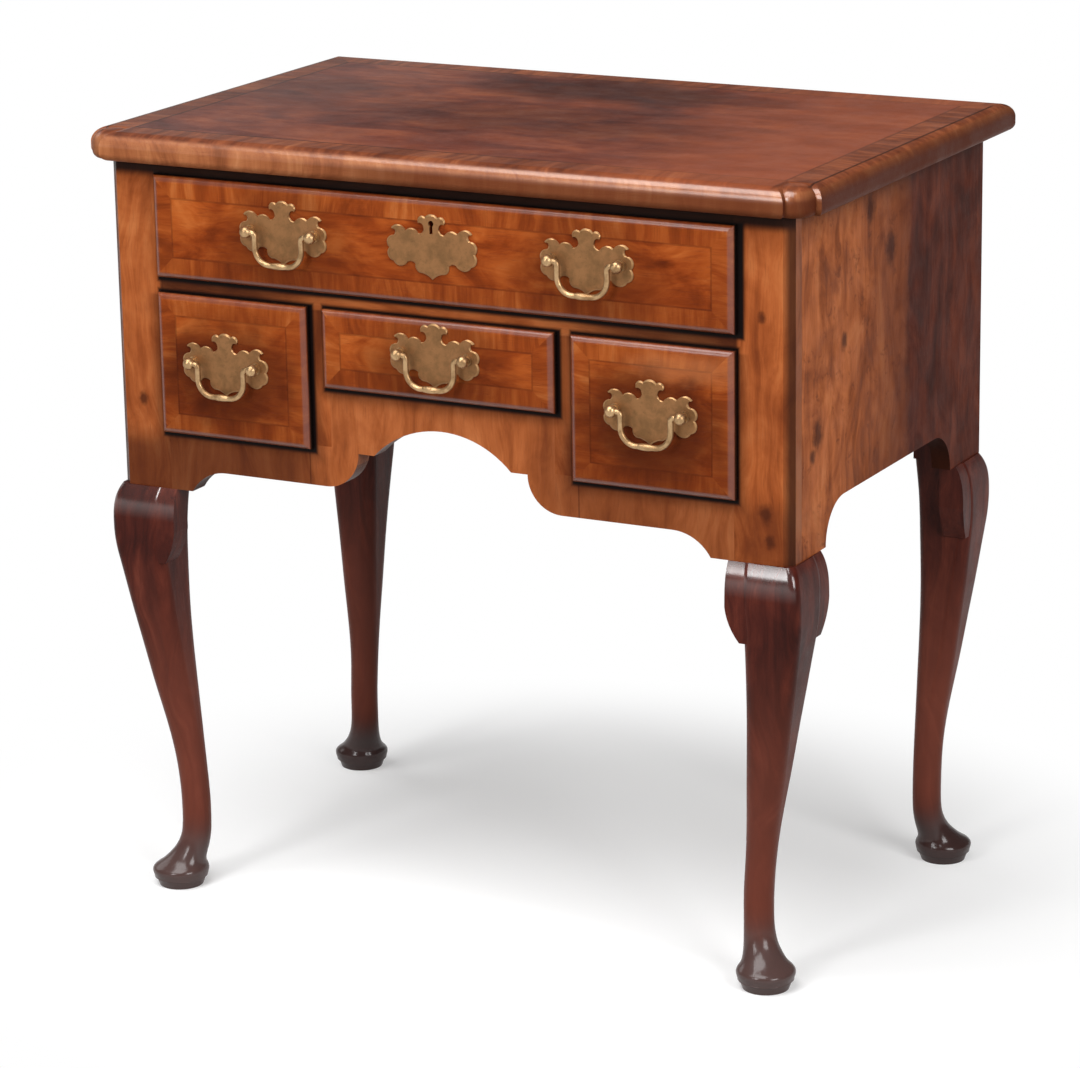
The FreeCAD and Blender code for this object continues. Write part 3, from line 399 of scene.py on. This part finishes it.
def drawer_gaps(s, colour, from_middle):
    """Painted shade on the middle rail, dirt on a spandrel, painted shade and dirt round the lower
    drawers, and painted shadow in the gaps round all of them.
    """
    rail_low, rail_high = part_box("middle_rail")
    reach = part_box("top_drawer_front")[1].x
    # Painted shade on the middle rail towards its ends, under the proud lips of the drawers above
    on_rail = s.mul(s.below(s.off(s.z, (rail_low.z + rail_high.z) / 2), 0.012, 0.004),
                    s.below(from_middle, reach, 0.004))
    colour = s.blend(s.mul(on_rail, s.fade(from_middle, 0.08, 0.2, 0.0, 0.75)), colour, RAIL_SHADE)
    spandrel = spot_gap(s, (s.x, *SPANDREL_X), (s.z, *SPANDREL_Z))
    colour = s.blend(s.fade(spandrel, 0.4, 1.3, 0.45, 0.0), colour, SPANDREL_DIRT)
    gaps = []
    for drawer, width in GAP_SHADOW_WIDTHS.items():
        low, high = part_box(f"{drawer}_drawer_front")
        gaps.append(s.most(outside(s, s.x, low.x - GAP_SHADOW_LEFT, high.x + width),
                           outside(s, s.z, low.z - GAP_SHADOW_UNDER, high.z + GAP_SHADOW_OVER)))
    nearest = s.least(*gaps)
    under_rail = s.below(s.z, rail_low.z, 0.003)
    # Painted shade with dirt in a halo round the drawers below the middle rail
    colour = s.blend(s.mul(s.fade(nearest, 0.0, 0.014, 0.5, 0.0), under_rail), colour, GAP_SHADE_AND_DIRT)
    # Painted shadow, near black, in the gaps round every drawer front, reaching furthest to the right
    return s.blend(s.fade(nearest, -0.001, 0.003, 1.0, 0.0), colour, PAINTED_SHADOW)


def turned_edges(s, colour, fibres, from_middle):
    """Paler wood on the outer side faces, and painted shade with dark old wood on edges that are turned
    away.
    """
    across, outward, _ = s.facing()
    side_face = s.fade(across, 0.9, 0.98)
    colour = s.blend(side_face, colour, wood_colour(s, fibres, SIDE_STOPS, patch_share=0.6))
    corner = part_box("right_stile")[1].x
    turned_away = s.fade(outward, 0.75, 0.95, 0.85, 0.0)
    arris_shade = s.fade(from_middle, corner - 0.008, corner - 0.003, 0.35, 1.0)
    inside_corner = s.below(from_middle, corner - 0.0085, 0.0005)
    # Painted shade with old dark wood on turned-away faces, full inside the case and along the canted
    # outer corner
    edge_shade = s.mul(turned_away, s.sub(s.most(arris_shade, inside_corner), s.mul(side_face, 0.5)))
    return s.blend(edge_shade, colour, SHADED_OLD_EDGE)


def frame_wood(name, stops, along, seed):
    """The boards of the case front: grain along one axis, dirt and painted shade round the drawers,
    painted shadow under the top, and painted shade with dark old wood on turned-away edges.
    """
    s = Shade(name)
    from_middle = s.unsigned(s.x)
    axes = (s.x, s.z, s.y) if along == "x" else (s.z, s.x, s.y)
    fibres = grain(s, *axes, seed, figure=1.4)
    colour = wood_colour(s, fibres, stops, patch_share=0.55)
    colour = stained(s, colour, 0.3, CASE_STAIN, scale=11.0)
    colour = knotted(s, colour, s.x, STILE_KNOTS, CASE_KNOT)
    colour = apron_dirt(s, colour, from_middle)
    colour = drawer_gaps(s, colour, from_middle)
    # Painted shadow under the overhang of the top
    under_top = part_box("top_rail")[1].z
    colour = s.blend(s.fade(s.z, under_top - 0.016, under_top - 0.007, 0.0, 0.95), colour, PAINTED_SHADOW)
    colour = turned_edges(s, colour, fibres, from_middle)
    return s.finish(colour, worn_gloss(s, 0.36, 0.54), wood_bump(s, fibres), Specular_IOR_Level=0.07)


def side_wood(name, seed, knots=()):
    """The case sides: a speckled, pale sheet of veneer in front and a dark one behind it."""
    s = Shade(name)
    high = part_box("right_side")[1]
    fibres = grain(s, s.z, s.y, s.x, seed, figure=1.5)
    front = wood_colour(s, fibres, SIDE_STOPS, patch_share=0.65)
    front = stained(s, front, 0.5, SIDE_STAIN, scale=13.0)
    specks = s.fade(s.noise(s.point, 70.0, detail=5.0, rough=0.7, twist=0.5), 0.56, 0.68)
    front = s.blend(s.mul(specks, 0.5), front, SIDE_SPECK)
    wander = s.swing(7.0, detail=5.0)
    towards_seam = s.fade(s.add(s.y, s.mul(wander, 0.2)), SIDE_SEAM - 0.13, SIDE_SEAM, 0.0, 0.65)
    front = s.blend(towards_seam, front, SEAM_SHADE)
    front = knotted(s, front, s.y, knots, SIDE_KNOT)
    back = wood_colour(s, fibres, SIDE_BACK_STOPS, patch_share=0.65)
    behind = s.fade(s.add(s.y, s.mul(wander, 0.05)), SIDE_SEAM - 0.004, SIDE_SEAM + 0.012)
    colour = s.blend(behind, front, back)
    colour = s.blend(s.fade(s.z, high.z - 0.04, high.z, 0.0, 0.6), colour, UNDER_TOP_SHADE)
    # Painted shade with the dark of old wood on the board's edges, which face away from the side
    colour = s.blend(s.fade(s.facing()[0], 0.5, 0.8, 0.85, 0.0), colour, SHADED_OLD_EDGE)
    return s.finish(colour, worn_gloss(s, 0.36, 0.54), wood_bump(s, fibres), Specular_IOR_Level=0.02)


def handle_dirt(s, colour, drawer, dirt):
    """Uneven dirt round the handles of a drawer."""
    half_width, half_height = HANDLE_SPOT
    for handle in nodes:
        if handle.startswith(f"{drawer}_") and handle.endswith("_bail"):
            first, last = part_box(handle)
            gap = spot_gap(s, (s.x, (first.x + last.x) / 2, half_width),
                           (s.z, last.z - HANDLE_DROP, half_height))
            uneven = s.add(gap, s.mul(s.swing(40.0), 0.7))
            colour = s.blend(s.fade(uneven, 0.75, 1.45, dirt, 0.0), colour, HANDLE_DIRT)
    return colour


def drawer_wood(drawer, seed, dirt):
    """A drawer front: a figured field, a crossbanded border, a string line and dirt round its brasses."""
    node = f"{drawer}_drawer_front"
    s = Shade(f"walnut_{node}")
    low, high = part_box(node)
    from_end = inside(s, s.x, low.x, high.x)
    from_side = inside(s, s.z, low.z, high.z)
    margin = s.least(from_end, from_side)
    field = grain(s, s.x, s.z, s.y, seed, figure=2.0)
    colours = (wood_colour(s, field, FIELD_STOPS, patch_share=0.75),
               wood_colour(s, grain(s, s.x, s.z, s.y, seed + 2.0), BAND_STOPS),
               wood_colour(s, grain(s, s.z, s.x, s.y, seed + 4.0), BAND_STOPS))
    colour = bordered(s, from_end, from_side, colours, DRAWER_BORDER)
    line = s.below(s.off(margin, DRAWER_LINE), DRAWER_LINE_HALF, FINE)
    colour = s.blend(s.mul(line, 0.35), colour, STRING)
    colour = handle_dirt(s, colour, drawer, dirt)
    # Darker towards the right, and towards the bottom by half the front's dirt
    darker_right_and_low = s.add(s.fade(s.x, -0.3, 0.3, 0.0, 0.14), s.fade(s.z, low.z, high.z - 0.02, dirt * 0.5, 0.0))
    colour = s.blend(darker_right_and_low, colour, DRAWER_DARKENING)
    for x, z, width, height, amount, tint in DRAWER_PATCHES.get(drawer, ()):
        patch = s.add(spot_gap(s, (s.x, x, width), (s.z, z, height)), s.swing(60.0))
        colour = s.blend(s.fade(patch, 0.3, 1.4, amount, 0.0), colour, tint)
    lip = s.below(margin, DRAWER_LIP, 0.002)
    colour = s.blend(s.mul(lip, 0.5), colour, LIP_SHADE)
    # Painted shadow along the very outline of the front, by its gap
    colour = s.blend(s.below(margin, FINE, JOINT), colour, PAINTED_SHADOW)
    return s.finish(colour, worn_gloss(s, 0.34, 0.5), wood_bump(s, field), Specular_IOR_Level=0.05,
                    Coat_Weight=s.mul(lip, 0.8), Coat_Roughness=0.26, Coat_IOR=1.7)


def leg_wood():
    """Dark, polished walnut with a paler, browner painted sheen towards the ankle, nearly black at the
    foot, with painted sheen on the front feet and painted shade on the back ones.
    """
    s = Shade("walnut_leg")
    fibres = grain(s, s.z, s.x, s.y, seed=12.7)
    colour = wood_colour(s, fibres, LEG_STOPS)
    # Painted sheen towards the ankle
    colour = s.blend(s.fade(s.z, *ANKLE_SHEEN_HEIGHTS, 0.0, 0.5), colour, ANKLE_SHEEN)
    # The feet's own dark colour, with painted sheen on the front feet and painted shade on the back ones
    behind = s.fade(s.y, -0.1, 0.1)
    foot = s.blend(behind, FRONT_FOOT_SHEEN, BACK_FOOT_SHADE)
    colour = s.blend(s.fade(s.z, *FOOT_HEIGHTS, 0.0, 0.85), colour, foot)
    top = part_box("front_knee_ears")[1].z
    crown = s.mul(s.fade(s.z, top - 0.032, top - 0.01), s.fade(s.facing()[1], 0.5, 0.85))
    foot_polish = s.fade(s.z, *FOOT_POLISH_HEIGHTS, 0.03, 0.3)
    polish = s.most(s.mul(crown, s.sub(1.0, behind)), foot_polish)
    return s.finish(colour, worn_gloss(s, 0.3, 0.44), wood_bump(s, fibres, distance=0.0001),
                    Specular_IOR_Level=0.06, Coat_Weight=polish, Coat_Roughness=0.17, Coat_IOR=1.9)


def oak_wood(name, along, seed):
    """Dry, unpolished boards inside the case and the drawers."""
    s = Shade(name)
    axes = (s.x, s.y, s.z) if along == "x" else (s.y, s.x, s.z)
    fibres = grain(s, *axes, seed)
    colour = wood_colour(s, fibres, OAK_STOPS, patch_share=0.35, pore_depth=0.4)
    colour = stained(s, colour, 0.4, OAK_STAIN)
    return s.finish(colour, worn_gloss(s, 0.62, 0.85), wood_bump(s, fibres, distance=0.0004),
                    Specular_IOR_Level=0.3)


# Metal

BRASS_SPOT = (78, 54, 32)
# Painted highlight for the upward-facing bevelled rim of the plates
BRASS_RIM_HIGHLIGHT = (196, 154, 106)
IRON = (62, 56, 54)
RUST = (92, 54, 36)


def brass(name, rubbed, dull, rough, metal, rim):
    """Old brass, brown where it is tarnished and brighter where it is rubbed, with a painted highlight
    along the upward-facing bevelled rim of a plate.
    """
    s = Shade(name)
    tarnish = s.fade(s.noise(s.point, 90.0, detail=5.0, rough=0.65, twist=0.3), 0.35, 0.7)
    spots = s.fade(s.noise(s.point, 420.0, detail=3.0, rough=0.6), 0.58, 0.7)
    colour = s.blend(tarnish, rubbed, dull)
    colour = s.blend(s.mul(spots, 0.3), colour, BRASS_SPOT)
    _, outward, upward = s.normal()
    # Painted highlight on the bevelled rim where it faces upwards, with lower roughness there
    rim_highlight = s.mul(s.fade(outward, -0.97, -0.9, 0.0, rim), s.fade(upward, -0.1, 0.15, 0.3, 1.0))
    colour = s.blend(rim_highlight, colour, BRASS_RIM_HIGHLIGHT)
    normal = s.bump(s.noise(s.point, 260.0, rough=0.6), distance=0.00008, strength=0.4)
    gloss = s.sub(s.add(s.mul(tarnish, 0.12), rough), s.mul(rim_highlight, 0.16))
    return s.finish(colour, gloss, normal, Metallic=metal)


def iron():
    """Dark, hammered iron."""
    s = Shade("iron")
    rust = s.fade(s.noise(s.point, 160.0, detail=5.0, rough=0.65), 0.5, 0.72)
    normal = s.bump(s.noise(s.point, 300.0), distance=0.0001, strength=0.5)
    return s.finish(s.blend(rust, IRON, RUST), s.add(s.mul(rust, 0.3), 0.45), normal, Metallic=0.8)


# Materials of the pieces

oak_along = oak_wood("oak_along", "y", seed=1.3)
oak_across = oak_wood("oak_across", "x", seed=6.1)
upright_frame = frame_wood("walnut_upright", CASE_STOPS, "z", seed=2.6)
level_frame = frame_wood("walnut_level", CASE_STOPS, "x", seed=8.8)
dark_iron = iron()
plate_brass = brass("brass_plate", (148, 104, 64), (124, 88, 52), rough=0.44, metal=0.7, rim=0.55)
rod_brass = brass("brass_rod", (192, 158, 116), (146, 112, 76), rough=0.34, metal=0.9, rim=0.0)
leg = leg_wood()

looks = {
    "top_board": top_wood(),
    "left_side": side_wood("walnut_left_side", seed=4.4),
    "right_side": side_wood("walnut_right_side", seed=11.5, knots=SIDE_KNOTS),
    "apron": frame_wood("walnut_apron", APRON_STOPS, "z", seed=5.7),
    "top_rail": level_frame,
    "middle_rail": level_frame,
    "left_stile": upright_frame,
    "right_stile": upright_frame,
    "left_divider": upright_frame,
    "right_divider": upright_frame,
    "escutcheon": plate_brass,
    "back_nails": dark_iron,
    "lock_case": dark_iron,
    "lock_bolt": dark_iron,
    "back_board": oak_across,
}
for number, (drawer, dirt) in enumerate(DRAWER_DIRT.items(), start=1):
    looks[f"{drawer}_drawer_front"] = drawer_wood(drawer, number * DRAWER_SEED, dirt)
for name in nodes:
    if name.endswith(("_leg", "_ears")):
        looks[name] = leg
    elif name.endswith("_plates"):
        looks[name] = plate_brass
    elif name.endswith(("_bail", "_posts")):
        looks[name] = rod_brass
    elif name.endswith(("_drawer_back", "_drawer_bottom")):
        looks[name] = oak_across
    elif name not in looks:
        looks[name] = oak_along
for name, node in nodes.items():
    node.data.materials.clear()
    node.data.materials.append(looks[name])

# Stage: floor, world and lights

FLOOR_LIT = (236, 236, 236)
FLOOR_BOUNCE = (150, 147, 144)
FLOOR_GLOW = 0.23
FLOOR_REACH = 30.0
# The oval of floor round the feet that keeps the shadow, as middle and half size along x and y
SHADOW_X = (0.0, 0.5)
SHADOW_Y = (-0.02, 0.44)
# The world's strength against the height of the view, white along the horizon and dimmer overhead
WORLD_FADE = {"From Min": 0.06, "From Max": 0.17, "To Min": 1.0, "To Max": 0.14}


def floor_material():
    """A white floor that keeps the object's soft shadow and fades into the background."""
    s = Shade("floor")
    path = s.tree.nodes.new("ShaderNodeLightPath").outputs
    lit = s.node("ShaderNodeBsdfDiffuse", {"Color": rgba(FLOOR_LIT)}).outputs[0]
    glow = s.node("ShaderNodeEmission", {"Strength": FLOOR_GLOW}).outputs[0]
    near = s.node("ShaderNodeAddShader", {0: lit, 1: glow}).outputs[0]
    far = s.node("ShaderNodeEmission", {"Strength": 1.0}).outputs[0]
    distance = spot_gap(s, (s.x, *SHADOW_X), (s.y, *SHADOW_Y))
    shown = s.node("ShaderNodeMixShader", {0: s.fade(distance, 0.55, 1.35), 1: near, 2: far}).outputs[0]
    bounce = s.node("ShaderNodeBsdfDiffuse", {"Color": rgba(FLOOR_BOUNCE)}).outputs[0]
    seen = s.most(path["Is Camera Ray"], path["Is Glossy Ray"], path["Is Transmission Ray"])
    mixed = s.node("ShaderNodeMixShader", {0: seen, 1: bounce, 2: shown}).outputs[0]
    s.tree.links.new(mixed, s.output.inputs[0])
    return s.material


floor_mesh = bpy.data.meshes.new("floor")
corners = [(x * FLOOR_REACH, y * FLOOR_REACH, 0) for x, y in ((-1, -1), (1, -1), (1, 1), (-1, 1))]
floor_mesh.from_pydata(corners, [], [(0, 1, 2, 3)])
floor_mesh.materials.append(floor_material())
floor = bpy.data.objects.new("floor", floor_mesh)
bpy.context.scene.collection.objects.link(floor)

world = bpy.data.worlds.new("studio")
bpy.context.scene.world = world
world.use_nodes = True
tree = world.node_tree
background = tree.nodes["Background"]
background.inputs["Color"].default_value = (1, 1, 1, 1)
direction = tree.nodes.new("ShaderNodeSeparateXYZ")
tree.links.new(tree.nodes.new("ShaderNodeTexCoord").outputs["Generated"], direction.inputs[0])
strength = tree.nodes.new("ShaderNodeMapRange")
strength.interpolation_type = "SMOOTHSTEP"
for socket, value in WORLD_FADE.items():
    strength.inputs[socket].default_value = value
tree.links.new(direction.outputs["Z"], strength.inputs["Value"])
tree.links.new(strength.outputs[0], background.inputs["Strength"])


def softbox(name, spot, target, size, watts):
    """A rectangular lamp at a spot, turned to a target."""
    data = bpy.data.lights.new(name, "AREA")
    data.shape = "RECTANGLE"
    data.size, data.size_y = size
    data.energy = watts
    lamp = bpy.data.objects.new(name, data)
    lamp.location = spot
    lamp.rotation_euler = (Vector(target) - Vector(spot)).to_track_quat("-Z", "Y").to_euler()
    bpy.context.scene.collection.objects.link(lamp)


softbox("overhead", (-0.3, -1.3, 3.2), target=(0, 0, 0.4), size=(2.4, 1.7), watts=76)
softbox("right", (2.7, -1.5, 1.9), target=(0.2, 0, 0.45), size=(1.4, 1.4), watts=58)
softbox("left", (-0.75, -3.05, 2.1), target=(0, -0.2, 0.4), size=(0.8, 1.5), watts=38)
softbox("far left", (-3.1, 0.6, 1.9), target=(0, 0, 0.45), size=(1.6, 1.6), watts=14)

# Camera: the photograph's standpoint

spot = Vector((1.70299, -3.23243, 1.36580))
ahead = Vector((-0.45131266, 0.84926467, -0.27398248)).normalized()
right = Vector((0.88508949, 0.46514063, -0.01614916)).normalized()
upward = right.cross(ahead)
lens = bpy.data.cameras.new("camera")
lens.lens = 137.79
lens.sensor_width = 36.0
lens.clip_end = 100.0
camera = bpy.data.objects.new("camera", lens)
camera.matrix_world = Matrix.Translation(spot) @ Matrix((right, upward, -ahead)).transposed().to_4x4()
bpy.context.scene.collection.objects.link(camera)
bpy.context.scene.camera = camera
bpy.context.scene.view_settings.view_transform = "Standard"
